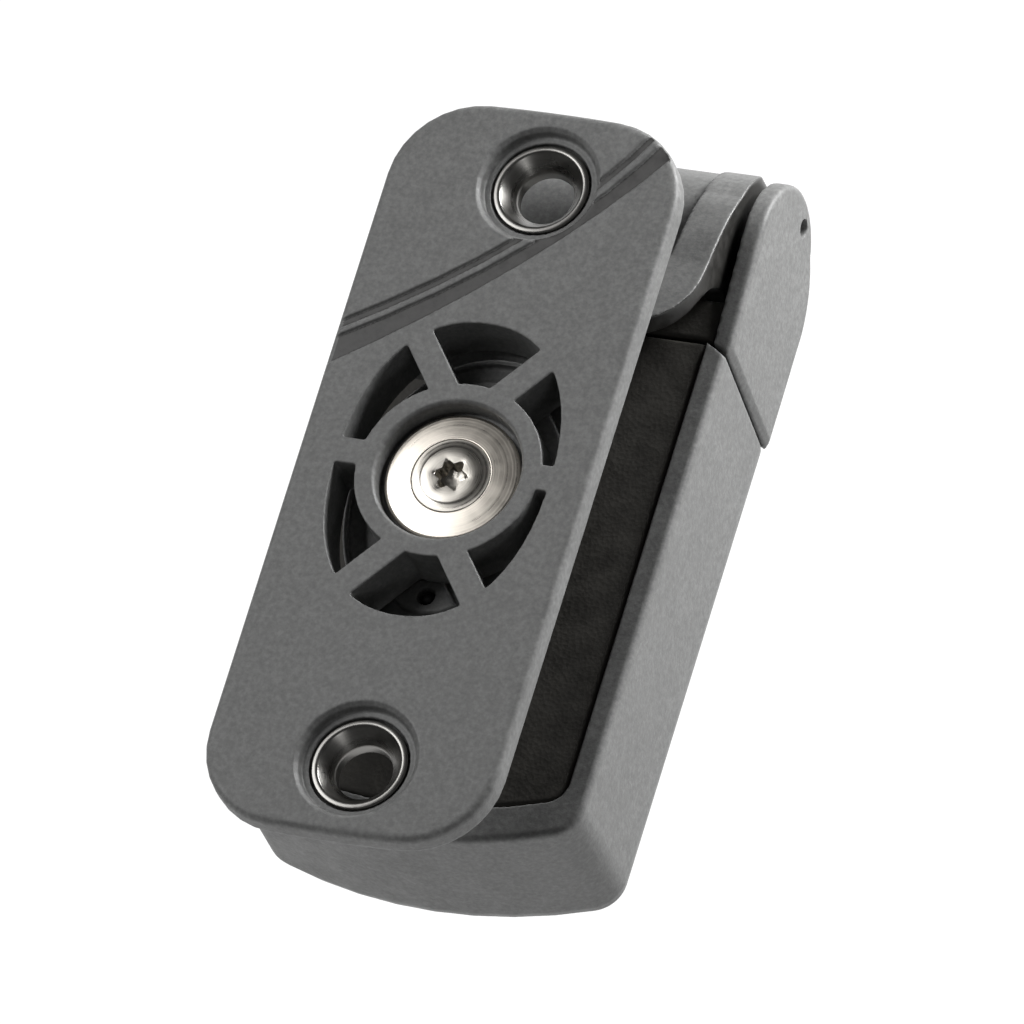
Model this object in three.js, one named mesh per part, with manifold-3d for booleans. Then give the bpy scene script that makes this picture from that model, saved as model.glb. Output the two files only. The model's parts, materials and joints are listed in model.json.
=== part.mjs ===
// A swivel-mounted lever cam cleat, in millimetres.
//
// X is the width and Y the long axis, with the lever's hinge at the +Y end. Z points out of
// the mounting plate's face. The origin is on the swivel axis, in the plane of the lever's
// flat back, so the cleat lies on its back on Z = 0.
//
// The mounting plate stays still. The swivel arm turns under it about Z, the lever opens
// from the arm about X, and the rope runs along X between the arm's disc and the lever's
// pad, where a toothed cam that rocks about Y grips it.

import * as THREE from 'three';
import { mergeVertices } from 'three/addons/utils/BufferGeometryUtils.js';
import Module from 'manifold-3d';

const wasm = await Module();
wasm.setup();

// ---------------------------------------------------------------- driving dimensions

const GAP = 0.3; // clearance between pieces that touch

const PLATE = {
  top: 38, bottom: 35, halfWidth: 18.2, halfLength: 47.75,
  corner: 10.5, crown: 210, edge: 0.8,
  shift: -0.65, // the outline and the windows sit a little to -X of the line of the holes
};
const BOSS = { cup: 33.2, hub: 30.9, wall: 1.3 }; // the plate's bosses under the holes and the hub
const HOLE_Y = 38.1; // the fixing holes are 76.2 apart
const CUP = { bore: 3.4, tube: 4.0, flange: 5.8, rim: 1.3 };
const HUB = { counterbore: 8.85, shelf: 34.9, bore: 6.5, ring: 11.3 };
const WINDOW = { halfLength: 19.25, halfWidth: 13.3, fullness: 2.25 };
const SPOKE = { width: 3.4, angle: 38.5, x: 4.05, y: 10.95, sideWidth: 3.3, sideY: 0.7 };
// Two shallow grooves sweep across the face. Each edge is a quadratic curve through its ends.
const GROOVE_DEPTH = 0.35;
const GROOVES = [
  { lower: [[-19.5, 10.7], [3.6, 27.2], [15.5, 44.2]], upper: [[14, 46.6], [4.8, 29.7], [-19.5, 14.5]] },
  { lower: [[-19.5, 15.4], [4.2, 30.4], [13.2, 47]], upper: [[12, 47], [3.5, 31.2], [-19.5, 16.7]] },
];

const DISC = {
  halfWidth: 14.4, halfLength: 18.6, bottom: 27.2, floor: 29.8, top: 30.6, rim: 0.8, spigot: 4.9,
};
const RIB = { count: 4, pitch: 3.2, groove: 1.2, depth: 0.5, halfLength: 14 }; // under the disc
const LUG = { x: -0.9, y: -13, hole: 1.1, ball: 0.85 };
const WASHER = { radius: 8.2 };
const SCREW_M5 = { shank: 2.4, clearance: 2.7, head: 4.4 };
const NUT = { radius: 4.6, pocket: 5, thickness: 2, depth: 2.4 };

const HINGE = { y: 43.3, z: 14.2, pin: 2.5 };
const ARM = {
  halfWidth: 19.3, neck: 12.5, shoulder: 8, shoulderY: 33.5, tipY: 51, corner: 2, // its plan
  radius: 10.1, hub: 9.4, clear: 10.4, // its end round the hinge
  pocket: 14.4, barrel: 9.4, bush: 5, boreEnd: 9.2,
};

const BODY = { halfWidth: 22.5, top: 22, tip: -40, corner: 4.5, crown: 61.7, frontEdge: 0.7, backEdge: 3 };
// The joint line between housing and cap: straight across the pad, dropping over the rims,
// with the cap's lip chamfered outside them, and leaning back towards the rear.
const SEAM = { y: 28.8, drop: 1.5, chamfer: 1.1, lean: 0.1 };
const PAD = { halfWidth: 19.7, top: 21.5, bottom: 19.3, inset: 4.4, corner: 3 };
const COVER = { thickness: 2.2, inset: 4.5, topY: 24.9 };
const CAVITY = { inset: 5.8, topY: 24.2 };
const CAP = { halfWidth: 23, earInner: 20.6, endY: 43.5, endZ: 14.2, radius: 9.4, edge: 0.7, back: 1.3 };
const LANYARD_HOLE = { radius: 1.1, y: 49.8, z: 11.6 };

const CAM = { x: -3, z: 12, hub: 4, reach: 9.9, rise: 2.2, tooth: 0.45, front: -3.5, back: 6, axle: 2 };
const CARRIER = { wall: 7.2, thickness: 1.2, left: -12.5, right: 6.5, height: 16.5, base: 2.5 };

const COVER_SCREWS = [[-14.4, -27.5], [14.4, -27.5], [-14.4, 21], [14.4, 21]];
const CARRIER_SCREWS = [[-10.4, 0], [4.4, 0]];
const CAP_SCREW = { x: 7.5, z: 6, shank: 1.2, head: 2.6, hole: 1.8, pilot: 1.5 };
const SMALL_SCREW = { shank: 1.1, head: 2.2, length: 7.5, carrierLength: 4.6, pilot: 1.4, depth: 9.5 };

const SIDES = { large: 56, medium: 24, small: 14 };

// ---------------------------------------------------------------- solids

// Turns a closed geometry into a solid that can be joined and cut.
function solid(geometry) {
  const bare = geometry.clone();
  for (const name of Object.keys(bare.attributes)) {
    if (name !== 'position') bare.deleteAttribute(name);
  }
  const merged = mergeVertices(bare, 1e-4);
  const index = merged.index.array;
  const triangles = [];
  for (let i = 0; i < index.length; i += 3) {
    const [a, b, c] = [index[i], index[i + 1], index[i + 2]];
    if (a !== b && b !== c && c !== a) triangles.push(a, b, c);
  }
  const positions = merged.attributes.position.array;
  if (signedVolume(positions, triangles) < 0) triangles.reverse();
  return new wasm.Manifold(new wasm.Mesh({
    numProp: 3,
    vertProperties: new Float32Array(positions),
    triVerts: new Uint32Array(triangles),
  }));
}

function signedVolume(positions, triangles) {
  const corner = (i) => new THREE.Vector3().fromArray(positions, 3 * triangles[i]);
  let volume = 0;
  for (let i = 0; i < triangles.length; i += 3) {
    volume += corner(i).dot(corner(i + 1).cross(corner(i + 2))) / 6;
  }
  return volume;
}

const join = (first, ...others) => others.reduce((sum, other) => sum.add(other), first);
const cut = (first, ...tools) => tools.reduce((rest, tool) => rest.subtract(tool), first);

function toGeometry(shape) {
  const mesh = shape.getMesh();
  const geometry = new THREE.BufferGeometry();
  geometry.setAttribute('position', new THREE.BufferAttribute(new Float32Array(mesh.vertProperties), 3));
  geometry.setIndex(new THREE.BufferAttribute(new Uint32Array(mesh.triVerts), 1));
  geometry.computeVertexNormals();
  return geometry;
}

// A profile drawn in (Y, Z) and extruded along X stands up with this turn, and one drawn in
// (Z, X) and extruded along Y with the other.
const UPRIGHT_X = new THREE.Matrix4().makeBasis(
  new THREE.Vector3(0, 1, 0), new THREE.Vector3(0, 0, 1), new THREE.Vector3(1, 0, 0));
const UPRIGHT_Y = new THREE.Matrix4().makeBasis(
  new THREE.Vector3(0, 0, 1), new THREE.Vector3(1, 0, 0), new THREE.Vector3(0, 1, 0));

function box(x0, x1, y0, y1, z0, z1) {
  const geometry = new THREE.BoxGeometry(x1 - x0, y1 - y0, z1 - z0);
  return solid(geometry.translate((x0 + x1) / 2, (y0 + y1) / 2, (z0 + z1) / 2));
}

// A rod along one axis. Its centre is given by the two other coordinates, in X, Y, Z order.
function rod(axis, radius, from, to, u, v, sides = SIDES.medium) {
  const geometry = new THREE.CylinderGeometry(radius, radius, to - from, sides);
  const middle = (from + to) / 2;
  if (axis === 'x') geometry.rotateZ(-Math.PI / 2).translate(middle, u, v);
  if (axis === 'y') geometry.translate(u, middle, v);
  if (axis === 'z') geometry.rotateX(Math.PI / 2).translate(u, v, middle);
  return solid(geometry);
}

// A turned piece about a line parallel to Z, from [radius, z] pairs that close on themselves.
function turned(profile, x = 0, y = 0, sides = SIDES.medium) {
  const points = profile.map(([radius, z]) => new THREE.Vector2(radius, z));
  points.push(points[0].clone());
  const geometry = new THREE.LatheGeometry(points, sides);
  return solid(geometry.rotateX(Math.PI / 2).translate(x, y, 0));
}

function prism(shape, from, to, upright = new THREE.Matrix4(), curveSegments = 8) {
  const geometry = new THREE.ExtrudeGeometry(shape, { depth: to - from, bevelEnabled: false, curveSegments });
  return solid(geometry.translate(0, 0, from).applyMatrix4(upright));
}

function polygon(pairs) {
  return new THREE.Shape(pairs.map(([u, v]) => new THREE.Vector2(u, v)));
}

// ---------------------------------------------------------------- outlines and slabs

// One crowned end of a block, from its right side round to its left: a corner arc, the wide
// arc that crowns the end, and the other corner arc.
function crownedEnd(halfWidth, tip, corner, crown) {
  const cornerX = halfWidth - corner;
  const crownY = tip - crown;
  const cornerY = crownY + Math.sqrt((crown - corner) ** 2 - cornerX ** 2);
  const turn = Math.atan2(cornerY - crownY, cornerX);
  const path = new THREE.Path();
  path.absarc(cornerX, cornerY, corner, 0, turn, false);
  path.absarc(0, crownY, crown, turn, Math.PI - turn, false);
  path.absarc(-cornerX, cornerY, corner, Math.PI - turn, Math.PI, false);
  const points = path.getPoints(4);
  return points.filter((point, i) => i === 0 || point.distanceTo(points[i - 1]) > 1e-6);
}

const turnedRound = (points) => points.map((point) => new THREE.Vector2(-point.x, -point.y));

// The lever's outline: a crowned end at -Y and square corners at topY.
function bodyOutline(halfWidth, topY, tip, corner, crown) {
  return [
    new THREE.Vector2(halfWidth, topY),
    new THREE.Vector2(-halfWidth, topY),
    ...turnedRound(crownedEnd(halfWidth, -tip, corner, crown)),
  ];
}

// An ellipse, or with a fullness over 2 an oval with fuller shoulders.
function oval(halfWidth, halfLength, sides, fullness = 2) {
  const bulge = (value) => Math.sign(value) * Math.abs(value) ** (2 / fullness);
  return Array.from({ length: sides }, (_, i) => {
    const angle = (2 * Math.PI * (i + 0.5)) / sides;
    return new THREE.Vector2(halfWidth * bulge(Math.cos(angle)), halfLength * bulge(Math.sin(angle)));
  });
}

// Moves every point of a counter-clockwise outline inwards by the same distance.
function insetOutline(points, distance) {
  return points.map((point, i) => {
    const before = points[(i + points.length - 1) % points.length];
    const after = points[(i + 1) % points.length];
    const arriving = point.clone().sub(before).normalize();
    const leaving = after.clone().sub(point).normalize();
    const inward = new THREE.Vector2(-arriving.y - leaving.y, arriving.x + leaving.x).normalize();
    const spread = arriving.x * inward.y - arriving.y * inward.x;
    return point.clone().addScaledVector(inward, distance / spread);
  });
}

// A quarter round of the given size, as steps away from the slab's end face and its side.
function quarterRound(size, steps) {
  if (size === 0) return [{ away: 0, inset: 0 }];
  return Array.from({ length: steps + 1 }, (_, i) => {
    const angle = (i / steps) * (Math.PI / 2);
    return { away: size * (1 - Math.cos(angle)), inset: size * (1 - Math.sin(angle)) };
  });
}

// Heights and insets that round the lower and upper edges of a slab.
function roundedLevels(from, to, lowerEdge, upperEdge, steps = 3) {
  const lower = quarterRound(lowerEdge, steps).map(({ away, inset }) => ({ height: from + away, inset }));
  const upper = quarterRound(upperEdge, steps).map(({ away, inset }) => ({ height: to - away, inset }));
  return [...lower, ...upper.reverse()];
}

// A slab with the given outline at each level.
function slab(outline, levels, upright = new THREE.Matrix4()) {
  const count = outline.length;
  const positions = [];
  for (const level of levels) {
    for (const point of insetOutline(outline, level.inset)) positions.push(point.x, point.y, level.height);
  }
  const triangles = [];
  for (const [a, b, c] of THREE.ShapeUtils.triangulateShape(outline, [])) {
    const top = count * (levels.length - 1);
    triangles.push(a, c, b, a + top, b + top, c + top);
  }
  for (let level = 0; level < levels.length - 1; level += 1) {
    for (let i = 0; i < count; i += 1) {
      const j = (i + 1) % count;
      const [low, high] = [level * count, (level + 1) * count];
      triangles.push(low + i, low + j, high + j, low + i, high + j, high + i);
    }
  }
  const geometry = new THREE.BufferGeometry();
  geometry.setAttribute('position', new THREE.Float32BufferAttribute(positions, 3));
  geometry.setIndex(triangles);
  return solid(geometry.applyMatrix4(upright));
}

// ---------------------------------------------------------------- small parts

// A wire coil about a line parallel to X or Y, with a straight leg at each end.
function torsionCoil(axis, { wire, radius, pitch, turns, leg }, from, u, v) {
  const perTurn = 12;
  const place = (turn, reach) => {
    const [along, angle] = [from + pitch * turn, 2 * Math.PI * turn];
    const across = u + radius * Math.cos(angle) - reach * Math.sin(angle);
    const up = v + radius * Math.sin(angle) + reach * Math.cos(angle);
    return axis === 'x' ? new THREE.Vector3(along, across, up) : new THREE.Vector3(across, along, up);
  };
  const points = [place(0, -leg)];
  for (let i = 0; i <= Math.round(turns * perTurn); i += 1) points.push(place(i / perTurn, 0));
  points.push(place(turns, leg));
  return wireAlong(points, wire);
}

// A round wire of 6 sides through the given points.
function wireAlong(points, wire) {
  const section = new THREE.Shape();
  section.absarc(0, 0, wire, 0, 2 * Math.PI, false);
  const extrudePath = new THREE.CatmullRomCurve3(points, false, 'centripetal');
  const settings = { steps: points.length, curveSegments: 3, extrudePath };
  return solid(new THREE.ExtrudeGeometry(section, settings));
}

// A shallow six-lobed drive recess.
function driveRecess(size, x, y, from, to, sides = 18) {
  const points = [];
  for (let i = 0; i < sides; i += 1) {
    const angle = (2 * Math.PI * i) / sides;
    const radius = size * (0.86 + 0.14 * Math.cos(6 * angle));
    points.push([x + radius * Math.cos(angle), y + radius * Math.sin(angle)]);
  }
  return prism(polygon(points), from, to);
}

// A countersunk screw that enters from the back, with its head at Z = 0.1.
function backScrew(x, y, length) {
  const { head, shank } = SMALL_SCREW;
  const profile = [[0, 0.1], [head, 0.1], [head, 0.3], [shank, 1.4], [shank, length], [0, length + 0.6]];
  return cut(turned(profile, x, y, SIDES.small), driveRecess(shank, x, y, -1, 0.9));
}

// The hole that a back screw needs in the cover.
function backScrewHole(x, y) {
  const { head, pilot, depth } = SMALL_SCREW;
  const mouth = head + GAP;
  const profile = [[0, -1], [mouth, -1], [mouth, 0.35], [pilot, 1.5], [pilot, depth], [0, depth]];
  return turned(profile, x, y, SIDES.small);
}

// ---------------------------------------------------------------- mounting plate

function faceGroove({ lower, upper }) {
  const shape = new THREE.Shape();
  shape.moveTo(...lower[0]);
  shape.quadraticCurveTo(...lower[1], ...lower[2]);
  shape.lineTo(...upper[0]);
  shape.quadraticCurveTo(...upper[1], ...upper[2]);
  return prism(shape, PLATE.top - GROOVE_DEPTH, PLATE.top + 1);
}

// The ring of windows: an oval, fuller than an ellipse at its shoulders.
function windowOutline(halfWidth, halfLength) {
  const outline = oval(halfWidth, halfLength, SIDES.large, WINDOW.fullness);
  return outline.map((point) => point.setX(point.x + PLATE.shift));
}

function hubWindows() {
  const [below, above] = [BOSS.hub - 1, PLATE.top + 1];
  const { halfWidth, halfLength } = WINDOW;
  const [sideLow, sideHigh] = [SPOKE.sideY - SPOKE.sideWidth / 2, SPOKE.sideY + SPOKE.sideWidth / 2];
  let windows = slab(windowOutline(halfWidth, halfLength), roundedLevels(below, above, 0, 0));
  windows = cut(windows, rod('z', HUB.ring, below - 1, above + 1, 0, 0, SIDES.large));
  windows = cut(windows, box(-20, 20, sideLow, sideHigh, below - 1, above + 1));
  for (const side of [1, -1]) {
    for (const end of [1, -1]) {
      const spoke = new THREE.BoxGeometry(SPOKE.width, 24, above - below + 2);
      spoke.translate(0, 8, (above + below) / 2);
      spoke.rotateZ(-side * end * THREE.MathUtils.degToRad(SPOKE.angle) + (end < 0 ? Math.PI : 0));
      spoke.translate(side * SPOKE.x, end * SPOKE.y, 0);
      windows = cut(windows, solid(spoke));
    }
  }
  return windows;
}

// The stepped and coned seat of a fixing hole.
function cupSeat(y) {
  const top = PLATE.top;
  return turned([
    [0, top + 1], [7.6, top + 1], [7.6, top], [7.1, top - 0.5], [6.9, top - 1.4], [6.1, top - 1.4],
    [6.1, top - 2.2], [4.3, top - 4.2], [4.3, BOSS.cup - 1], [0, BOSS.cup - 1],
  ], 0, y, 32);
}

function mountPlate() {
  const end = crownedEnd(PLATE.halfWidth, PLATE.halfLength, PLATE.corner, PLATE.crown);
  const outline = [...end, ...turnedRound(end)].map((point) => point.setX(point.x + PLATE.shift));
  const skirt = windowOutline(WINDOW.halfWidth + BOSS.wall, WINDOW.halfLength + BOSS.wall);
  const [low, high] = [BOSS.cup, PLATE.bottom + 1];
  const blank = join(
    slab(outline, roundedLevels(PLATE.bottom, PLATE.top, 0.3, PLATE.edge)),
    slab(skirt, roundedLevels(BOSS.hub, high, 0, 0)),
    rod('z', 8, low, high, 0, HOLE_Y),
    rod('z', 8, low, high, 0, -HOLE_Y),
  );
  const hubBore = turned([
    [0, PLATE.top + 1], [9.2, PLATE.top + 1], [9.2, PLATE.top], [HUB.counterbore, PLATE.top - 0.4],
    [HUB.counterbore, HUB.shelf], [HUB.bore, HUB.shelf], [HUB.bore, BOSS.hub - 1], [0, BOSS.hub - 1],
  ], 0, 0, 48);
  const grooves = GROOVES.map(faceGroove);
  return cut(blank, hubBore, hubWindows(), cupSeat(HOLE_Y), cupSeat(-HOLE_Y), ...grooves);
}

// A flared steel eyelet that lines a fixing hole.
function screwCup(y) {
  const rim = PLATE.top - CUP.rim;
  return turned([
    [CUP.flange - 0.7, rim], [CUP.flange - 0.2, rim], [CUP.flange, rim - 0.2], [CUP.flange, rim - 0.6],
    [CUP.tube, rim - 2.8], [CUP.tube, BOSS.cup - 0.4], [CUP.bore, BOSS.cup - 0.4], [CUP.bore, rim - 2.1],
  ], 0, y, 32);
}

// The plain bearing sleeve between the plate's hub and the arm's spigot.
function hubBush() {
  const [low, high] = [DISC.top + GAP, HUB.shelf - GAP];
  const [bore, outside] = [DISC.spigot + GAP, HUB.bore - GAP];
  return turned([[bore, low], [outside, low], [outside, high], [bore, high]], 0, 0, 28);
}

// ---------------------------------------------------------------- swivel arm

function armProfile() {
  const shape = new THREE.Shape();
  shape.moveTo(16, DISC.floor - 0.3);
  shape.lineTo(16, DISC.bottom);
  shape.lineTo(24, DISC.bottom);
  shape.lineTo(31, 26.4);
  shape.quadraticCurveTo(35, 25.4, 35.9, 20);
  shape.absarc(HINGE.y, HINGE.z, ARM.hub, 2.48, 4.5, false);
  shape.absarc(HINGE.y, HINGE.z, ARM.radius, -1.45, 1.2, false);
  shape.quadraticCurveTo(43, 26.3, 36, 27.6);
  shape.lineTo(26, DISC.top);
  shape.lineTo(21.5, DISC.top);
  shape.lineTo(19.4, DISC.floor - 0.3);
  return shape;
}

function armPlan() {
  const { halfWidth, neck, shoulder, shoulderY, tipY, corner } = ARM;
  const turn = Math.acos((neck - halfWidth + shoulder) / shoulder);
  const shape = new THREE.Shape();
  shape.moveTo(neck, 4);
  shape.absarc(halfWidth - shoulder, shoulderY, shoulder, -turn, 0, false);
  shape.absarc(halfWidth - corner, tipY, corner, 0, Math.PI / 2, false);
  shape.absarc(corner - halfWidth, tipY, corner, Math.PI / 2, Math.PI, false);
  shape.absarc(shoulder - halfWidth, shoulderY, shoulder, Math.PI, Math.PI + turn, false);
  shape.lineTo(-neck, 4);
  return shape;
}

// The space between the arm's cheeks, down to the barrel that the hinge runs through.
function armPocket() {
  const shape = new THREE.Shape();
  shape.moveTo(36, 40);
  shape.lineTo(36.4, 25.2);
  shape.lineTo(37.8, 23.4);
  shape.absarc(HINGE.y + 0.5, HINGE.z - 0.3, ARM.barrel, 2.05, 0.3, true);
  shape.lineTo(60, 16.7);
  shape.lineTo(60, 40);
  return prism(shape, -ARM.pocket, ARM.pocket, UPRIGHT_X, 14);
}

// The oval disc under the plate's hub: a raised rim, a sunk floor with a central boss, the
// spigot that turns in the hub, and the lug that holds the detent.
function swivelDisc() {
  const { halfWidth, halfLength, bottom, floor, top, rim, spigot } = DISC;
  const step = (inset, from, to, edge) =>
    slab(oval(halfWidth - inset, halfLength - inset, SIDES.large), roundedLevels(from, to, 0, edge, 1));
  const boss = cut(step(2.8, floor - 0.5, top - 0.2, 0.2), box(-20, 20, -20, LUG.y + 2.6, 0, 40));
  const lug = slab(
    [[4.1, -0.7], [1.7, 2.2], [-1.6, 2.2], [-4.2, -0.7], [-2.4, -1.9], [0, -2.3], [2.4, -1.9]]
      .map(([x, y]) => new THREE.Vector2(LUG.x + x, LUG.y + y)),
    roundedLevels(floor - 0.5, top, 0, 0.3, 1),
  );
  const sunk = cut(step(0, bottom, top, 0.3), step(rim, floor, 40, 0));
  return join(sunk, boss, lug, rod('z', spigot, floor - 0.5, HUB.shelf, 0, 0, SIDES.medium));
}

// The arm's long part: its side view, kept to its plan.
function armKnuckle() {
  const sideView = prism(armProfile(), -ARM.halfWidth, ARM.halfWidth, UPRIGHT_X, 14);
  return sideView.intersect(prism(armPlan(), 0, 40));
}

function nutPocket() {
  const { pocket, depth } = NUT;
  const hex = new THREE.CylinderGeometry(pocket, pocket, 2 * depth, 6).rotateX(Math.PI / 2);
  return solid(hex.translate(0, 0, DISC.bottom));
}

// One groove of the ribbed underside that the rope is pressed against.
function ribGroove(x) {
  const { groove, depth, halfLength } = RIB;
  return box(x - groove / 2, x + groove / 2, -halfLength, halfLength, DISC.bottom - 1, DISC.bottom + depth);
}

function swivelArm() {
  let arm = join(swivelDisc(), armKnuckle());
  arm = cut(arm, armPocket(), nutPocket(), rod('z', SCREW_M5.clearance, 20, 40, 0, 0));
  arm = cut(arm, rod('z', LUG.hole, DISC.bottom + 0.7, 40, LUG.x, LUG.y, SIDES.small));
  const bore = ARM.bush + GAP;
  arm = cut(arm, rod('x', bore, ARM.boreEnd, 30, HINGE.y, HINGE.z));
  arm = cut(arm, rod('x', bore, -30, -ARM.boreEnd, HINGE.y, HINGE.z));
  for (let i = 1; i <= RIB.count; i += 1) {
    arm = cut(arm, ribGroove(i * RIB.pitch), ribGroove(-i * RIB.pitch));
  }
  return arm;
}

// A slightly dished steel washer with a coned seat for the pivot screw.
function retainingWasher() {
  const low = HUB.shelf + GAP;
  const { radius } = WASHER;
  return turned([
    [2.95, low], [radius, low], [radius, low + 0.7], [radius - 0.2, low + 0.9],
    [5.2, low + 1.2], [4.95, low + 1.25],
  ], 0, 0, 48);
}

function pivotScrew() {
  const low = HUB.shelf;
  const { shank, head } = SCREW_M5;
  const screw = turned([
    [0, DISC.bottom + 0.2], [shank, DISC.bottom + 0.2], [shank, low + GAP],
    [head, low + 1.55], [head, low + 1.75], [head - 0.25, low + 1.95], [0, low + 1.95],
  ], 0, 0, 32);
  return cut(screw, driveRecess(2.1, 0, 0, low + 0.4, low + 3, 36));
}

function pivotNut() {
  const { radius, thickness } = NUT;
  const hex = new THREE.CylinderGeometry(radius, radius, thickness, 6).rotateX(Math.PI / 2);
  hex.translate(0, 0, DISC.bottom + 0.1 + thickness / 2);
  return cut(solid(hex), rod('z', SCREW_M5.clearance, 20, 40, 0, 0));
}

function detentSpring() {
  const points = [];
  for (let i = 0; i <= 20; i += 1) {
    const angle = (2 * Math.PI * i) / 8;
    const height = DISC.bottom + 0.85 + i * 0.02;
    points.push(new THREE.Vector3(LUG.x + 0.75 * Math.cos(angle), LUG.y + 0.75 * Math.sin(angle), height));
  }
  return wireAlong(points, 0.06);
}

function detentBall() {
  const height = DISC.top - 0.15 - LUG.ball;
  const ball = new THREE.SphereGeometry(LUG.ball, 16, 10).rotateX(Math.PI / 2);
  return solid(ball.translate(LUG.x, LUG.y, height));
}

// A span on one side of X or Y = 0, in rising order.
const sideSpan = (side, inner, outer) => (side > 0 ? [inner, outer] : [-outer, -inner]);

const hingeRod = (radius, span) => rod('x', radius, ...span, HINGE.y, HINGE.z);

function hingeBush(side) {
  const sleeve = hingeRod(ARM.bush, sideSpan(side, ARM.pocket, ARM.halfWidth));
  return cut(sleeve, hingeRod(HINGE.pin + GAP, [-30, 30]));
}

// ---------------------------------------------------------------- lever

// Everything on the hinge side of the joint line, moved by an offset along Y.
function beyondSeam(offset) {
  const inner = SEAM.y + offset;
  const outer = inner - SEAM.drop;
  const lip = outer + SEAM.chamfer;
  const [rim, edge] = [PAD.halfWidth, BODY.halfWidth];
  const plan = polygon([
    [-60, 80], [-60, lip], [-CAP.halfWidth, lip], [-edge, outer], [-rim, inner],
    [rim, inner], [edge, outer], [CAP.halfWidth, lip], [60, lip], [60, 80],
  ]);
  const geometry = new THREE.ExtrudeGeometry(plan, { depth: 60, bevelEnabled: false });
  geometry.translate(0, 0, -10);
  const leaning = new THREE.Matrix4().makeShear(0, 0, 0, 0, 0, SEAM.lean);
  geometry.translate(0, 0, -BODY.top).applyMatrix4(leaning).translate(0, 0, BODY.top);
  return solid(geometry);
}

// The lever's outline, inset all round, with its square end at topY and rounder corners.
function insideBody(topY, inset, rounder) {
  const { halfWidth, tip, corner, crown } = BODY;
  return insetOutline(bodyOutline(halfWidth, topY + inset, tip, corner + rounder, crown), inset);
}

function lowerHousing() {
  const outline = bodyOutline(BODY.halfWidth, 40, BODY.tip, BODY.corner, BODY.crown);
  const outer = slab(outline, roundedLevels(0, BODY.top, BODY.backEdge, BODY.frontEdge));
  const front = bodyOutline(PAD.halfWidth, 40, BODY.tip + PAD.inset, PAD.corner, BODY.crown - PAD.inset);
  const back = insideBody(COVER.topY + GAP, COVER.inset - GAP, 2);
  const cavity = insideBody(CAVITY.topY, CAVITY.inset, 3);
  let housing = cut(
    outer,
    beyondSeam(-GAP),
    slab(front, roundedLevels(PAD.bottom - GAP, 30, 0, 0)),
    slab(back, roundedLevels(-1, COVER.thickness + GAP, 0, 0)),
    slab(cavity, roundedLevels(0, 25, 0, 0)),
  );
  for (const [x, y] of COVER_SCREWS) {
    housing = join(housing, rod('z', 3.4, COVER.thickness + GAP, PAD.bottom - GAP, x, y, SIDES.small));
  }
  for (const [x, y] of COVER_SCREWS) {
    housing = cut(housing, rod('z', SMALL_SCREW.pilot, 0, SMALL_SCREW.depth, x, y, SIDES.small));
  }
  for (const side of [-1, 1]) housing = cut(housing, capScrewHole(side, CAP_SCREW.hole, 20, 40));
  return housing;
}

function rearCover() {
  const outline = insideBody(COVER.topY, COVER.inset, 2);
  let cover = slab(outline, roundedLevels(0, COVER.thickness, 0.4, 0, 2));
  for (const [x, y] of [...COVER_SCREWS, ...CARRIER_SCREWS]) cover = cut(cover, backScrewHole(x, y));
  return cover;
}

function frontPad() {
  const tip = BODY.tip + PAD.inset + GAP;
  const crown = BODY.crown - PAD.inset;
  const outline = bodyOutline(PAD.halfWidth - GAP, SEAM.y - GAP, tip, PAD.corner - GAP, crown);
  const blank = slab(outline, roundedLevels(PAD.bottom, PAD.top, 0, 0.3, 1));
  return cut(blank, box(-12.6, 4, -4.5, 7, 0, 30));
}

function capProfile() {
  const { endY, endZ, radius, back } = CAP;
  const start = Math.PI / 2 + 0.107;
  const shape = new THREE.Shape();
  shape.moveTo(15, back);
  shape.lineTo(40.5, back + 0.5);
  shape.quadraticCurveTo(45.6, back + 1.2, endY + 0.54 * radius, endZ - 0.84 * radius);
  shape.absarc(endY, endZ, radius, -1, start, false);
  shape.lineTo(15, 20.6);
  return shape;
}

function topCap() {
  const outline = capProfile().getPoints(12);
  const outer = slab(outline, roundedLevels(-CAP.halfWidth, CAP.halfWidth, CAP.edge, CAP.edge), UPRIGHT_X);
  const { earInner } = CAP;
  const clearance = new THREE.Shape();
  clearance.moveTo(80, 60);
  clearance.lineTo(34.4, 60);
  clearance.absarc(HINGE.y, HINGE.z, ARM.clear, 2.598, 4.2, false);
  clearance.lineTo(HINGE.y - 4.8, -20);
  clearance.lineTo(80, -20);
  let cap = cut(
    outer.intersect(beyondSeam(0)),
    prism(clearance, -earInner, earInner, UPRIGHT_X, 12),
    box(-earInner, earInner, 20, 60, PAD.bottom - GAP, 60),
    hingeRod(HINGE.pin + GAP, [-21.9, 21.9]),
    rod('x', LANYARD_HOLE.radius, -40, 40, LANYARD_HOLE.y, LANYARD_HOLE.z, SIDES.small),
  );
  for (const side of [-1, 1]) cap = cut(cap, capScrewHole(side, CAP_SCREW.pilot, 20, 34));
  return cap;
}

// The dark insert that carries the pad's surface on over the cap.
function capInsert() {
  const x = CAP.earInner - GAP;
  const base = box(-x, x, 20, 34.1, PAD.bottom, PAD.top);
  return base.intersect(beyondSeam(GAP));
}

function capScrewHole(side, radius, from, to) {
  return rod('y', radius, from, to, side * CAP_SCREW.x, CAP_SCREW.z, SIDES.small);
}

function capScrew(side) {
  const seat = CAVITY.topY - GAP;
  const shank = capScrewHole(side, CAP_SCREW.shank, seat - 0.5, 33);
  return join(shank, capScrewHole(side, CAP_SCREW.head, seat - 2, seat));
}

const hingePin = (side) => hingeRod(HINGE.pin, sideSpan(side, 9.5, 21.6));

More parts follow.
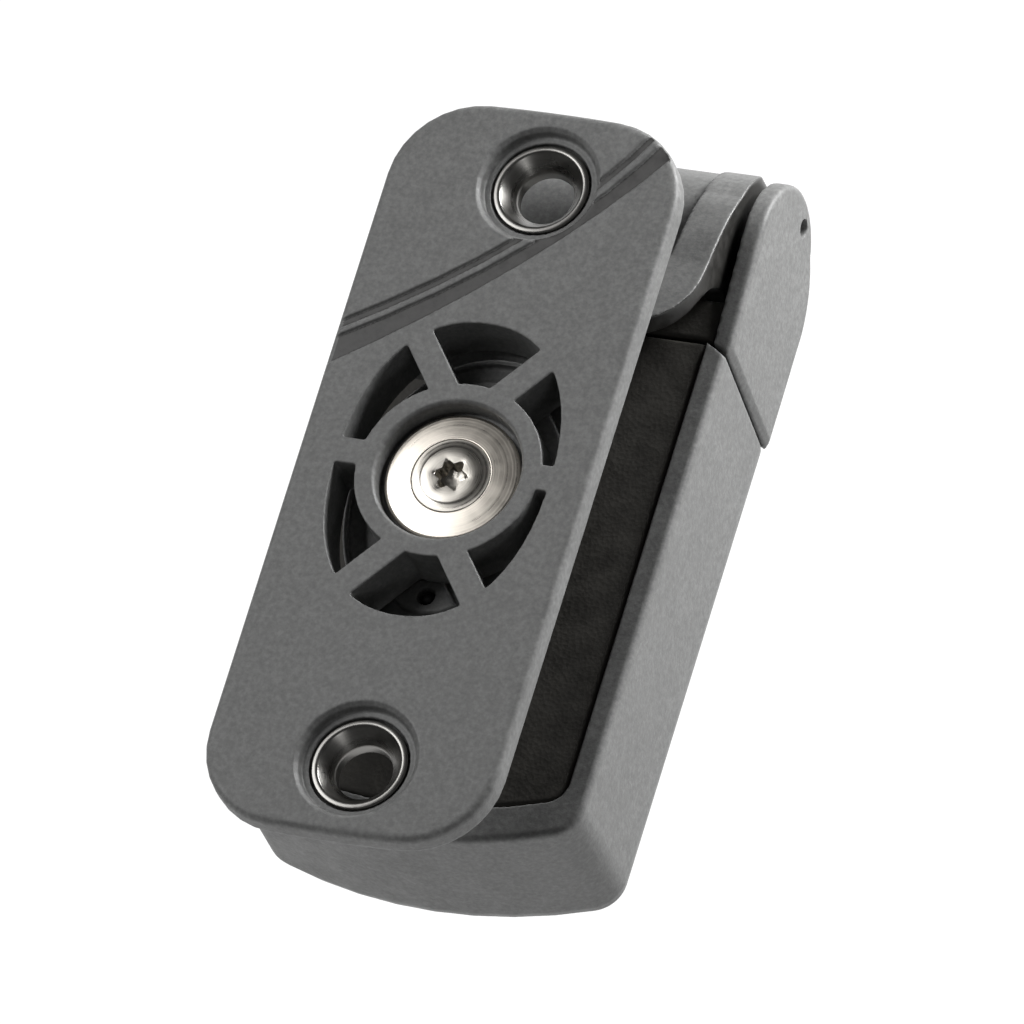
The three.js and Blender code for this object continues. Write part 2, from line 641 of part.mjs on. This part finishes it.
function spacerWasher(side) {
  const span = sideSpan(side, ARM.halfWidth + GAP, CAP.earInner - GAP);
  return cut(hingeRod(ARM.bush, span), hingeRod(HINGE.pin + GAP, [-30, 30]));
}

function hingeSpring(side) {
  const coil = { wire: 0.5, radius: 3.9, pitch: 1.25, turns: 2.4, leg: 2.2 };
  const [start] = sideSpan(side, 10.6, 13.6);
  return torsionCoil('x', coil, start, HINGE.y, HINGE.z);
}

// ---------------------------------------------------------------- cam

const camRod = (radius, span, sides) => rod('y', radius, ...span, CAM.x, CAM.z, sides);

function camBody() {
  const points = [];
  const [start, end, teeth] = [1.05, 1.83, 7];
  for (let i = 0; i <= teeth * 2; i += 1) {
    const turn = i / (teeth * 2);
    const angle = start + (end - start) * turn;
    const radius = CAM.reach + CAM.rise * turn - (i % 2 === 0 ? CAM.tooth : 0);
    points.push([CAM.z + radius * Math.sin(angle), CAM.x + radius * Math.cos(angle)]);
  }
  for (let i = 1; i < 14; i += 1) {
    const angle = end + 0.45 + ((2 * Math.PI - end + start - 0.9) * i) / 14;
    points.push([CAM.z + CAM.hub * Math.sin(angle), CAM.x + CAM.hub * Math.cos(angle)]);
  }
  const body = prism(polygon(points), CAM.front, CAM.back, UPRIGHT_Y);
  return cut(body, camRod(CAM.axle + GAP, [-20, 20]));
}

function camCarrier() {
  const { wall, thickness, left, right, height, base } = CARRIER;
  let carrier = box(left, right, -wall - thickness, wall + thickness, base, base + thickness);
  for (const y of [-wall - thickness, wall]) {
    carrier = join(carrier, box(CAM.x - 5, CAM.x + 5, y, y + thickness, base, height));
  }
  for (const [x, y] of CARRIER_SCREWS) {
    carrier = cut(carrier, rod('z', SMALL_SCREW.pilot, 0, SMALL_SCREW.depth, x, y, SIDES.small));
  }
  return cut(carrier, camRod(CAM.axle + GAP, [-20, 20]));
}

const camAxle = () => camRod(CAM.axle, [-9.8, 9.8], SIDES.small);

// A snap ring on the cam's axle, open on one side.
function axleClip(side) {
  const start = CARRIER.wall + CARRIER.thickness + GAP;
  const ring = camRod(3.8, sideSpan(side, start, start + 0.7));
  return cut(ring, camRod(CAM.axle + GAP, [-20, 20]), box(CAM.x - 1.3, CAM.x + 1.3, -20, 20, 0, CAM.z));
}

function camSpring() {
  const coil = { wire: 0.35, radius: 3.1, pitch: 1.0, turns: 2.4, leg: 2 };
  return torsionCoil('y', coil, -6.6, CAM.x, CAM.z);
}

// ---------------------------------------------------------------- assembly

const finish = (color, roughness, metalness) => ({ color, roughness, metalness });
const GREY_NYLON = finish(0x6b6c6d, 0.62, 0);
const DARK_RUBBER = finish(0x2b2a27, 0.75, 0);
const STEEL = finish(0xc9c6c0, 0.25, 1);
const DARK_STEEL = finish(0x77746f, 0.4, 1);
const ACETAL = finish(0x1d1d1c, 0.5, 0);

const group = new THREE.Group();
group.name = 'cam_cleat';

function addPiece(name, shape, look) {
  const mesh = new THREE.Mesh(toGeometry(shape), new THREE.MeshStandardMaterial(look));
  mesh.name = name;
  group.add(mesh);
}

addPiece('mount_plate', mountPlate(), GREY_NYLON);
addPiece('screw_cup_upper', screwCup(HOLE_Y), STEEL);
addPiece('screw_cup_lower', screwCup(-HOLE_Y), STEEL);
addPiece('hub_bush', hubBush(), ACETAL);

addPiece('swivel_arm', swivelArm(), GREY_NYLON);
addPiece('retaining_washer', retainingWasher(), STEEL);
addPiece('pivot_screw', pivotScrew(), DARK_STEEL);
addPiece('pivot_nut', pivotNut(), DARK_STEEL);
addPiece('detent_spring', detentSpring(), STEEL);
addPiece('detent_ball', detentBall(), STEEL);

addPiece('lower_housing', lowerHousing(), GREY_NYLON);
addPiece('top_cap', topCap(), GREY_NYLON);
addPiece('front_pad', frontPad(), DARK_RUBBER);
addPiece('cap_insert', capInsert(), DARK_RUBBER);
addPiece('rear_cover', rearCover(), GREY_NYLON);
for (const [name, side] of [['left', -1], ['right', 1]]) {
  addPiece(`hinge_bush_${name}`, hingeBush(side), ACETAL);
  addPiece(`hinge_pin_${name}`, hingePin(side), STEEL);
  addPiece(`spacer_washer_${name}`, spacerWasher(side), ACETAL);
  addPiece(`hinge_spring_${name}`, hingeSpring(side), DARK_STEEL);
  addPiece(`cap_screw_${name}`, capScrew(side), DARK_STEEL);
  addPiece(`axle_clip_${name}`, axleClip(side), DARK_STEEL);
}
COVER_SCREWS.forEach(([x, y], i) => {
  addPiece(`cover_screw_${i + 1}`, backScrew(x, y, SMALL_SCREW.length), DARK_STEEL);
});
CARRIER_SCREWS.forEach(([x, y], i) => {
  addPiece(`carrier_screw_${i + 1}`, backScrew(x, y, SMALL_SCREW.carrierLength), DARK_STEEL);
});

addPiece('cam', camBody(), STEEL);
addPiece('cam_carrier', camCarrier(), STEEL);
addPiece('cam_axle', camAxle(), STEEL);
addPiece('cam_spring', camSpring(), DARK_STEEL);

export default group;
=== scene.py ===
import json
import math

import bmesh
import bpy
from mathutils import Matrix, Vector

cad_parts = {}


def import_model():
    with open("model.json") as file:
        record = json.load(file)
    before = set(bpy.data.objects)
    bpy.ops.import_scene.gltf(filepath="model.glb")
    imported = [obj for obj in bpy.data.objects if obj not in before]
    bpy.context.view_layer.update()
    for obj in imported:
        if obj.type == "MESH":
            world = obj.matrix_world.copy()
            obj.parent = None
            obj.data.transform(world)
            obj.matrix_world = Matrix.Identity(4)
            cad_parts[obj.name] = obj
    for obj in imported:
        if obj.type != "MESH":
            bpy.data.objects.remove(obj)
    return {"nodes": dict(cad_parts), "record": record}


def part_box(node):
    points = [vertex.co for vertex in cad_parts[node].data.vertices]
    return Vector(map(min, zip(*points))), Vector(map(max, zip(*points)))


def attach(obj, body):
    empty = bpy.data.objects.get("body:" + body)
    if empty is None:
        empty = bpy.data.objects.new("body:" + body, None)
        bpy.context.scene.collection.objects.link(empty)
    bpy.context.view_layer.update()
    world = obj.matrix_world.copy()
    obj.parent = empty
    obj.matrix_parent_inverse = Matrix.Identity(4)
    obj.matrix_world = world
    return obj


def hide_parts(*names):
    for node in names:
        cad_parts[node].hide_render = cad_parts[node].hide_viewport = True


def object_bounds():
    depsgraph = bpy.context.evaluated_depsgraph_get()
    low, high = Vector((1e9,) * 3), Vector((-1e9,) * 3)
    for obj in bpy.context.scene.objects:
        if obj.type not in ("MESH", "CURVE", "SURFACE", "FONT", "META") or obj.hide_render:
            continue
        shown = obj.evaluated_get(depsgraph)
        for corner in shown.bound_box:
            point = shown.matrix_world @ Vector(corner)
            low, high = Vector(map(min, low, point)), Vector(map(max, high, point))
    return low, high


MM = 0.001
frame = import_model()
CAD_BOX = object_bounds()
NODES = frame["nodes"]
BODY_OF = {
    node: body
    for body, members in frame["record"]["behaviour"]["bodies"].items()
    for node in members
}
SLOT_OF = {part["node"]: part["material_slot"] for part in frame["record"]["subparts"]}

# Moulded pieces: the size of the remeshing cells in mm, and the number of smoothing passes.
MOULDED = {
    "top_cap": (0.2, 3),
    "rear_cover": (0.2, 3),
    "front_pad": (0.2, 3),
    "cap_insert": (0.2, 3),
    "lower_housing": (0.2, 6),
    "swivel_arm": (0.2, 3),
    "mount_plate": (0.14, 4),
}
CUPS = ("screw_cup_upper", "screw_cup_lower")
TURNED = {"retaining_washer", "pivot_screw", *CUPS}

WELD = 0.002  # vertices closer than this are one, in mm
KEPT_FACES = 0.2  # the share of a remeshed shell's faces that is kept
CORNER_STEPS = 4
RING_SEGMENTS = 120
# The angle between two faces beyond which the edge is shaded sharp, in degrees.
CREASE = {"moulded": 50, "machined": 32, "turned": 40}

# The plate's outline sits this far to one side of its holes, in mm. Both grooves lie within
# the half width, with their floors between the two depths below the face.
PLATE_SHIFT = -0.65
GROOVES = {"half_width": 17.6, "least_depth": 0.16, "greatest_depth": 0.5}

# Where shade is painted on the arm's sides, in mm: beyond "inner" and past "start". From "barrel" on,
# where the arm is a rounded barrel, the painted shade covers only its ends beyond "ends".
ARM_SHADE_LIMITS = {"start": 22, "inner": 11.5, "barrel": 34, "ends": 19}
# The painted shade goes only on side faces whose normals stay within these limits.
SIDEWAYS = {"most_up": 0.75, "most_forward": 0.72}  # limits on a side face's normal

GREY = (0.133, 0.134, 0.132)
GROOVE_GREY = (0.036, 0.035, 0.034)
# The colour of the painted shade on the arm's outer sides, where the ears shadow them.
PAINTED_SHADE_GREY = (0.020, 0.0195, 0.018)
RUBBER = (0.037, 0.035, 0.031)
ACETAL = (0.013, 0.013, 0.014)
WASHER = (0.66, 0.615, 0.55)
SCREW = (0.42, 0.40, 0.365)
CUP = (0.22, 0.215, 0.205)
SPRING = (0.40, 0.39, 0.38)
PLAIN_STEEL = (0.52, 0.51, 0.49)
CAST_STEEL = (0.34, 0.33, 0.32)

NOISE_RANGE = (0.35, 0.65)  # nearly all of a noise texture's values lie between these

LEVER_SWING = 75  # how far the open lever reaches below the cleat, in mm
FLOOR_SIZE = 8  # in metres
FLOOR_GREY = 0.12
FLOOR_GLOW = 0.93  # the floor's own light, which keeps it white in the picture
WORLD_STRENGTH = 0.08
# Each light's place from the hub in metres, its size in metres and its power in watts.
LIGHTS = {
    "key": (Vector((0.18, 0.25, 0.028)), 0.15, 2.0),
    "left": (Vector((-0.62, 0.12, 0.76)) * 0.8, 0.56, 4.4),
    "front": (Vector((0.66, -0.62, 0.42)) * 0.8, 0.2, 0.4),
}

CAMERA_AIM = Vector((7.58, -2.27, 33.78)) * MM
CAMERA_TOWARDS = Vector((0.3534, -0.3948, 0.848))  # from the aim point to the camera
CAMERA_UP = Vector((-0.132, 0.8765, 0.463))
CAMERA_DISTANCE = 2.5  # in metres
CLIP_RANGE = (0.05, 50)
VIEW_WIDTH = 118.8 * MM
SENSOR_WIDTH = 36  # of the camera, in mm


# ---------------------------------------------------------------- material helpers


class Shader:
    """A node material built one node at a time around a Principled shader."""

    def __init__(self, name, colour, roughness, metallic=0.0):
        self.material = bpy.data.materials.new(name)
        self.material.use_nodes = True
        self.tree = self.material.node_tree
        self.principled = self.tree.nodes["Principled BSDF"]
        self.set("Base Color", (*colour, 1))
        self.set("Roughness", roughness)
        self.set("Metallic", metallic)
        self.place = self.node("ShaderNodeTexCoord").outputs["Object"]

    def set(self, socket, value):
        self.principled.inputs[socket].default_value = value

    def feed(self, socket, output):
        self.tree.links.new(output, self.principled.inputs[socket])

    def node(self, kind, inputs=None, **settings):
        node = self.tree.nodes.new(kind)
        for name, value in settings.items():
            setattr(node, name, value)
        for name, value in (inputs or {}).items():
            if isinstance(value, bpy.types.NodeSocket):
                self.tree.links.new(value, node.inputs[name])
            else:
                node.inputs[name].default_value = value
        return node

    def noise(self, size, detail, roughness):
        """Noise with features of about that size, in metres."""
        settings = {
            "Vector": self.place,
            "Scale": 1 / size,
            "Detail": detail,
            "Roughness": roughness,
        }
        return self.node("ShaderNodeTexNoise", settings).outputs["Fac"]

    def spread(self, value, low, high):
        """Maps a noise value to the range low to high."""
        start, end = NOISE_RANGE
        settings = {"Value": value, "From Min": start, "From Max": end, "To Min": low, "To Max": high}
        return self.node("ShaderNodeMapRange", settings).outputs["Result"]

    def math(self, operation, a, b):
        node = self.node("ShaderNodeMath", {0: a, 1: b}, operation=operation)
        return node.outputs["Value"]

    def blend(self, a, b, share):
        """Both values added up: that share of a, and the rest of b."""
        part = self.math("MULTIPLY", a, share)
        rest = self.math("MULTIPLY", b, 1 - share)
        return self.math("ADD", part, rest)

    def vector_math(self, operation, a, b=(0, 0, 0)):
        return self.node("ShaderNodeVectorMath", {0: a, 1: b}, operation=operation)

    def shades(self, factor, stops):
        """A colour ramp from (position, colour) stops."""
        node = self.node("ShaderNodeValToRGB", {"Fac": factor})
        ramp = node.color_ramp
        while len(ramp.elements) < len(stops):
            ramp.elements.new(0.5)
        for element, (position, colour) in zip(ramp.elements, stops):
            element.position = position
            element.color = (*colour, 1)
        return node.outputs["Color"]

    def bump(self, height, distance, below=None):
        """A bump of that height in metres, on top of an earlier one."""
        settings = {"Height": height, "Distance": distance, "Strength": 1.0}
        if below is not None:
            settings["Normal"] = below
        return self.node("ShaderNodeBump", settings).outputs["Normal"]


def tint(colour, factor):
    return tuple(channel * factor for channel in colour)


# ---------------------------------------------------------------- materials


def grey_nylon():
    """Glass-filled nylon from a textured mould: mottled patches, fine speckle, a soft grain."""
    shader = Shader("grey_nylon", GREY, 0.5)
    patches = shader.noise(3.5 * MM, 2, 0.5)
    speckle = shader.noise(0.6 * MM, 3, 0.65)
    mottle = shader.blend(patches, speckle, 0.3)
    stops = [(0.36, tint(GREY, 0.80)), (0.5, GREY), (0.64, tint(GREY, 1.26))]
    shader.feed("Base Color", shader.shades(mottle, stops))
    shader.feed("Roughness", shader.spread(patches, 0.46, 0.6))
    grain = shader.bump(shader.noise(0.45 * MM, 3, 0.65), 0.03 * MM)
    waves = shader.bump(shader.noise(6 * MM, 1, 0.4), 0.03 * MM, grain)
    shader.feed("Normal", waves)
    shader.set("Specular IOR Level", 0.42)
    return shader.material


def polished_nylon(name, colour):
    """Darker, smoother nylon, such as the polished floor of a moulded groove. It also serves as
    painted shade on the arm's sides.
    """
    shader = Shader(name, colour, 0.38)
    patches = shader.noise(1.2 * MM, 3, 0.6)
    stops = [(0.35, tint(colour, 0.85)), (0.65, tint(colour, 1.3))]
    shader.feed("Base Color", shader.shades(patches, stops))
    shader.feed("Roughness", shader.spread(patches, 0.32, 0.46))
    shader.feed("Normal", shader.bump(shader.noise(0.5 * MM, 2, 0.5), 0.008 * MM))
    return shader.material


def dark_rubber():
    """Charcoal moulded rubber with a fine pebbled grain."""
    shader = Shader("dark_rubber", RUBBER, 0.7)
    cells = shader.node("ShaderNodeTexVoronoi", {"Vector": shader.place, "Scale": 1 / (0.55 * MM)})
    patches = shader.noise(3 * MM, 2, 0.5)
    stops = [(0.3, tint(RUBBER, 0.75)), (0.7, tint(RUBBER, 1.25))]
    shader.feed("Base Color", shader.shades(patches, stops))
    shader.feed("Roughness", shader.spread(patches, 0.62, 0.78))
    pebbles = shader.bump(cells.outputs["Distance"], 0.035 * MM)
    shader.feed("Normal", shader.bump(shader.noise(0.25 * MM, 2, 0.6), 0.02 * MM, pebbles))
    shader.set("Specular IOR Level", 0.3)
    return shader.material


def black_acetal():
    """Smooth machined acetal with faint tool marks."""
    shader = Shader("black_acetal", ACETAL, 0.4)
    marks = shader.noise(0.6 * MM, 2, 0.5)
    stops = [(0.3, tint(ACETAL, 0.8)), (0.7, tint(ACETAL, 1.3))]
    shader.feed("Base Color", shader.shades(marks, stops))
    shader.feed("Roughness", shader.spread(marks, 0.34, 0.48))
    shader.feed("Normal", shader.bump(marks, 0.01 * MM))
    return shader.material


def turned_steel(name, colour, roughness, centre, ring, anisotropy):
    """Steel turned on a lathe: fine rings, ring mm apart, round the upright axis through centre.

    The coordinates are folded at X = 0 and Y = 0, so one material serves both screw cups.
    """
    shader = Shader(name, colour, roughness, 1.0)
    folded = shader.vector_math("ABSOLUTE", shader.place)
    moved = shader.vector_math("ADD", folded.outputs[0], (-centre.x, -centre.y, 0))
    flat = shader.vector_math("MULTIPLY", moved.outputs[0], (1, 1, 0))
    radius = shader.vector_math("LENGTH", flat.outputs[0]).outputs["Value"]
    settings = {"W": radius, "Scale": 1 / (ring * MM), "Detail": 3}
    rings = shader.node("ShaderNodeTexNoise", settings, noise_dimensions="1D").outputs["Fac"]
    smears = shader.noise(1.8 * MM, 3, 0.6)
    mixed = shader.blend(rings, smears, 0.6)
    stops = [(0.35, tint(colour, 0.86)), (0.65, tint(colour, 1.08))]
    shader.feed("Base Color", shader.shades(mixed, stops))
    shader.feed("Roughness", shader.spread(mixed, roughness * 0.8, roughness * 1.25))
    shader.feed("Normal", shader.bump(rings, 0.006 * MM))
    shader.set("Anisotropic", anisotropy)
    tangent = shader.node("ShaderNodeTangent", direction_type="RADIAL", axis="Z")
    shader.feed("Tangent", tangent.outputs["Tangent"])
    return shader.material


def drawn_steel(name, colour, roughness, grain):
    """Plain steel with a fine drawn or sintered grain, in mm."""
    shader = Shader(name, colour, roughness, 1.0)
    fine = shader.noise(grain * MM, 3, 0.6)
    stops = [(0.35, tint(colour, 0.78)), (0.65, tint(colour, 1.12))]
    shader.feed("Base Color", shader.shades(fine, stops))
    shader.feed("Roughness", shader.spread(fine, roughness * 0.8, roughness * 1.3))
    shader.feed("Normal", shader.bump(fine, 0.01 * MM))
    return shader.material


def middle(node):
    low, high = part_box(node)
    return (low + high) / 2


def make_materials():
    washer = middle("retaining_washer")
    screw = middle("pivot_screw")
    cup = middle("screw_cup_upper")
    return {
        "grey_nylon": grey_nylon(),
        "dark_rubber": dark_rubber(),
        "black_acetal": black_acetal(),
        "washer_steel": turned_steel("washer_steel", WASHER, 0.34, washer, 0.3, 0.3),
        "screw_steel": turned_steel("screw_steel", SCREW, 0.32, screw, 0.3, 0.3),
        "cup_steel": turned_steel("cup_steel", CUP, 0.3, cup, 0.7, 0.2),
        "polished_groove": polished_nylon("polished_groove", GROOVE_GREY),
        # Painted shade for the arm's outer sides, which the ears shadow.
        "painted_shade_side": polished_nylon("painted_shade_side", PAINTED_SHADE_GREY),
        "spring_steel": drawn_steel("spring_steel", SPRING, 0.3, 0.3),
        "plain_steel": drawn_steel("plain_steel", PLAIN_STEEL, 0.26, 0.5),
        "cast_steel": drawn_steel("cast_steel", CAST_STEEL, 0.42, 0.25),
    }


# ---------------------------------------------------------------- shapes


def finish_piece(piece, node, materials):
    """Puts the piece on its node's body, gives it its material, and lets it stand for the node."""
    slot = SLOT_OF[node]
    piece.data.materials.clear()
    piece.data.materials.append(materials[slot])
    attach(piece, BODY_OF[node])
    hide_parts(node)


def link(piece):
    bpy.context.scene.collection.objects.link(piece)
    return piece


def apply_modifiers(piece):
    depsgraph = bpy.context.evaluated_depsgraph_get()
    mesh = bpy.data.meshes.new_from_object(piece.evaluated_get(depsgraph))
    old = piece.data
    piece.modifiers.clear()
    piece.data = mesh
    bpy.data.meshes.remove(old)


def smooth_by_angle(mesh, degrees):
    """Smooth shading, with sharp edges where two faces meet at more than that angle."""
    shape = bmesh.new()
    shape.from_mesh(mesh)
    for face in shape.faces:
        face.smooth = True
    for edge in shape.edges:
        closed = len(edge.link_faces) == 2
        edge.smooth = closed and edge.calc_face_angle(0) < math.radians(degrees)
    shape.to_mesh(mesh)
    shape.free()


def copy_of(node, name):
    """A closed, welded copy of a CAD node's mesh, in a new object."""
    mesh = NODES[node].data.copy()
    mesh.name = name
    shape = bmesh.new()
    shape.from_mesh(mesh)
    bmesh.ops.remove_doubles(shape, verts=shape.verts, dist=WELD * MM)
    shape.to_mesh(mesh)
    shape.free()
    return link(bpy.data.objects.new(name, mesh))


def moulded(node, cells, smoothing, materials):
    """A moulded piece: the node's shape with every edge softened as it leaves a mould."""
    piece = copy_of(node, f"{node}_moulding")
    remesh = piece.modifiers.new("cells", "REMESH")
    remesh.mode = "VOXEL"
    remesh.voxel_size = cells * MM
    soften = piece.modifiers.new("soften", "SMOOTH")
    soften.factor = 0.5
    soften.iterations = smoothing
    apply_modifiers(piece)
    lighten = piece.modifiers.new("lighten", "DECIMATE")
    lighten.ratio = KEPT_FACES
    apply_modifiers(piece)
    smooth_by_angle(piece.data, CREASE["moulded"])
    finish_piece(piece, node, materials)
    return piece


def machined(node, materials):
    """A metal or machined piece: the node's shape, shaded smooth between crisp edges."""
    piece = copy_of(node, f"{node}_piece")
    smooth_by_angle(piece.data, CREASE["machined"])
    finish_piece(piece, node, materials)


def filleted(profile, radius):
    """A closed (radius, height) profile with each corner rounded by that much, in mm."""
    rounded = []
    corners = [Vector(point) for point in profile]
    for i, corner in enumerate(corners):
        before = corners[i - 1] - corner
        after = corners[(i + 1) % len(corners)] - corner
        reach = min(radius, 0.4 * before.length, 0.4 * after.length)
        start = corner + before.normalized() * reach
        end = corner + after.normalized() * reach
        for step in range(CORNER_STEPS + 1):
            t = step / CORNER_STEPS
            rounded.append(tuple(start * (1 - t) ** 2 + corner * 2 * t * (1 - t) + end * t**2))
    return rounded


def lobed(radius):
    """The outline of a six-lobe recess, as a radius for each angle."""
    return lambda angle: radius * (0.86 + 0.14 * math.cos(6 * angle))


def turned(name, node, rings, materials, closed=True):
    """A piece made of rings about its node's upright axis.

    Each ring is a radius in mm, or an outline that gives one for each angle, and a height in mm.
    A closed profile joins the last ring to the first. An open one has a flat face at either end.
    """
    centre = middle(node)
    shape = bmesh.new()
    loops = []
    for radius, height in rings:
        outline = radius if callable(radius) else (lambda angle, r=radius: r)
        loop = []
        for i in range(RING_SEGMENTS):
            angle = 2 * math.pi * i / RING_SEGMENTS
            r = outline(angle) * MM
            x = centre.x + r * math.cos(angle)
            y = centre.y + r * math.sin(angle)
            loop.append(shape.verts.new((x, y, height * MM)))
        loops.append(loop)
    pairs = list(zip(loops, loops[1:]))
    if closed:
        pairs.append((loops[-1], loops[0]))
    for low, high in pairs:
        for i in range(RING_SEGMENTS):
            j = (i + 1) % RING_SEGMENTS
            shape.faces.new((low[i], low[j], high[j], high[i]))
    if not closed:
        shape.faces.new(loops[0])
        shape.faces.new(loops[-1])
    bmesh.ops.recalc_face_normals(shape, faces=shape.faces)
    mesh = bpy.data.meshes.new(name)
    shape.to_mesh(mesh)
    shape.free()
    smooth_by_angle(mesh, CREASE["turned"])
    finish_piece(link(bpy.data.objects.new(name, mesh)), node, materials)


def dished_washer(materials):
    """A low cone with a countersunk seat for the screw's head."""
    low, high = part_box("retaining_washer")
    base = low.z / MM
    edge = high.x / MM
    bore = 3.2
    seat = 4.8
    profile = [
        (bore, base),
        (edge, base),
        (edge, base + 0.7),
        (edge - 0.3, base + 0.9),
        (seat, base + 1.3),
        (seat, base + 1.0),
        (bore, base + 0.3),
    ]
    turned("dished_washer", "retaining_washer", filleted(profile, 0.12), materials)


def six_lobe_screw(materials):
    """A shank and a countersunk head, slightly raised, with a six-lobe recess."""
    low, high = (corner.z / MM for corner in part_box("pivot_screw"))
    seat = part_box("retaining_washer")[0].z / MM
    shank = 2.4
    head = 4.76
    rings = [
        (shank, low + 0.3),
        (shank, seat + 0.2),
        (head, seat + 1.0),
        (head, seat + 1.24),
        (4.7, seat + 1.3),
        (3.8, seat + 1.36),
        (3.68, seat + 1.44),
        (3.5, seat + 1.5),
        (2.4, high - 0.1),
        (lobed(2.1), high - 0.14),
        (lobed(1.95), high - 0.3),
        (lobed(1.9), high - 1.5),
        (lobed(1.7), high - 1.9),
        (0.6, high - 2.1),
    ]
    turned("six_lobe_screw", "pivot_screw", rings, materials, closed=False)


def flared_cup(node, materials):
    """The pressed steel eyelet of a fixing hole: a flat rim, a coned throat and a short tube."""
    corner, far_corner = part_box(node)
    low = corner.z / MM
    high = far_corner.z / MM
    rim = far_corner.x / MM
    bore = 3.4
    tube = 3.9
    profile = [
        (bore, low),
        (tube, low),
        (tube, high - 2.7),
        (rim, high - 0.6),
        (rim, high - 0.1),
        (rim - 0.7, high),
        (bore, high - 2.3),
    ]
    turned(f"{node}_flared", node, filleted(profile, 0.3), materials)


def mark_grooves(plate, materials):
    """The floors of the plate's shallow grooves are polished dark."""
    plate.data.materials.append(materials["polished_groove"])
    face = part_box("mount_plate")[1].z
    for polygon in plate.data.polygons:
        depth = (face - polygon.center.z) / MM
        across = abs(polygon.center.x / MM - PLATE_SHIFT) < GROOVES["half_width"]
        floor_deep = GROOVES["least_depth"] < depth < GROOVES["greatest_depth"]
        if floor_deep and polygon.normal.z > 0.9 and across:
            polygon.material_index = 1


def paint_arm_side_shade(arm, materials):
    """Painted shade: the arm's outer sides get a dark material, standing in for the shadow the ears
    cast on them.
    """
    arm.data.materials.append(materials["painted_shade_side"])
    for polygon in arm.data.polygons:
        x = polygon.center.x / MM
        y = polygon.center.y / MM
        normal = polygon.normal
        outward = x * normal.x > 0
        sideways = abs(normal.z) < SIDEWAYS["most_up"] and normal.y < SIDEWAYS["most_forward"]
        beside = y > ARM_SHADE_LIMITS["start"] and abs(x) > ARM_SHADE_LIMITS["inner"]
        place = y < ARM_SHADE_LIMITS["barrel"] or abs(x) > ARM_SHADE_LIMITS["ends"]
        if outward and sideways and beside and place:
            polygon.material_index = 1


# ---------------------------------------------------------------- stage


def area_light(name, place, target, size, watts):
    light = bpy.data.lights.new(name, "AREA")
    light.shape = "DISK"
    light.size = size
    light.energy = watts
    lamp = link(bpy.data.objects.new(name, light))
    lamp.location = place
    lamp.rotation_euler = (target - place).to_track_quat("-Z", "Y").to_euler()


def floor(centre):
    """A white floor, far enough down for the lever to swing open above it."""
    height = CAD_BOX[0].z - LEVER_SWING * MM
    bpy.ops.mesh.primitive_plane_add(size=FLOOR_SIZE, location=(centre.x, centre.y, height))
    plane = bpy.context.object
    plane.name = "floor"
    shader = Shader("floor_paper", (FLOOR_GREY, FLOOR_GREY, FLOOR_GREY), 0.9)
    fibres = shader.noise(4 * MM, 2, 0.5)
    stops = [(0.3, (0.115, 0.115, 0.115)), (0.7, (0.125, 0.125, 0.125))]
    shader.feed("Base Color", shader.shades(fibres, stops))
    shader.set("Specular IOR Level", 0.1)
    shader.set("Emission Color", (1, 1, 1, 1))
    shader.set("Emission Strength", FLOOR_GLOW)
    plane.data.materials.append(shader.material)


def world():
    scene = bpy.context.scene
    scene.world = bpy.data.worlds.new("studio")
    scene.world.use_nodes = True
    background = scene.world.node_tree.nodes["Background"]
    background.inputs["Color"].default_value = (1, 1, 1, 1)
    background.inputs["Strength"].default_value = WORLD_STRENGTH


def camera():
    """A long lens, so that the view is nearly parallel. It takes in VIEW_WIDTH at the aim point."""
    back = CAMERA_TOWARDS.normalized()
    side = CAMERA_UP.cross(back).normalized()
    true_up = back.cross(side)
    data = bpy.data.cameras.new("camera")
    data.sensor_width = SENSOR_WIDTH
    data.lens = SENSOR_WIDTH * CAMERA_DISTANCE / VIEW_WIDTH
    data.clip_start, data.clip_end = CLIP_RANGE
    view = link(bpy.data.objects.new("camera", data))
    basis = Matrix((side, true_up, back)).transposed().to_4x4()
    view.matrix_world = Matrix.Translation(CAMERA_AIM + back * CAMERA_DISTANCE) @ basis
    bpy.context.scene.camera = view


# ---------------------------------------------------------------- the object


def build():
    materials = make_materials()
    shells = {}
    for node, (cells, smoothing) in MOULDED.items():
        shells[node] = moulded(node, cells, smoothing, materials)
    # Paints shade on the arm's outer sides, where the ears shadow them.
    paint_arm_side_shade(shells["swivel_arm"], materials)
    mark_grooves(shells["mount_plate"], materials)
    dished_washer(materials)
    six_lobe_screw(materials)
    for node in CUPS:
        flared_cup(node, materials)
    for node in sorted(set(NODES) - set(MOULDED) - TURNED):
        machined(node, materials)


def light_the_stage():
    hub = Vector((0, 0, CAD_BOX[1].z))
    camera()
    for name, (place, size, watts) in LIGHTS.items():
        area_light(name, hub + place, hub, size, watts)
    world()
    floor(hub)


build()
light_the_stage()
bpy.context.scene.view_settings.view_transform = "Standard"
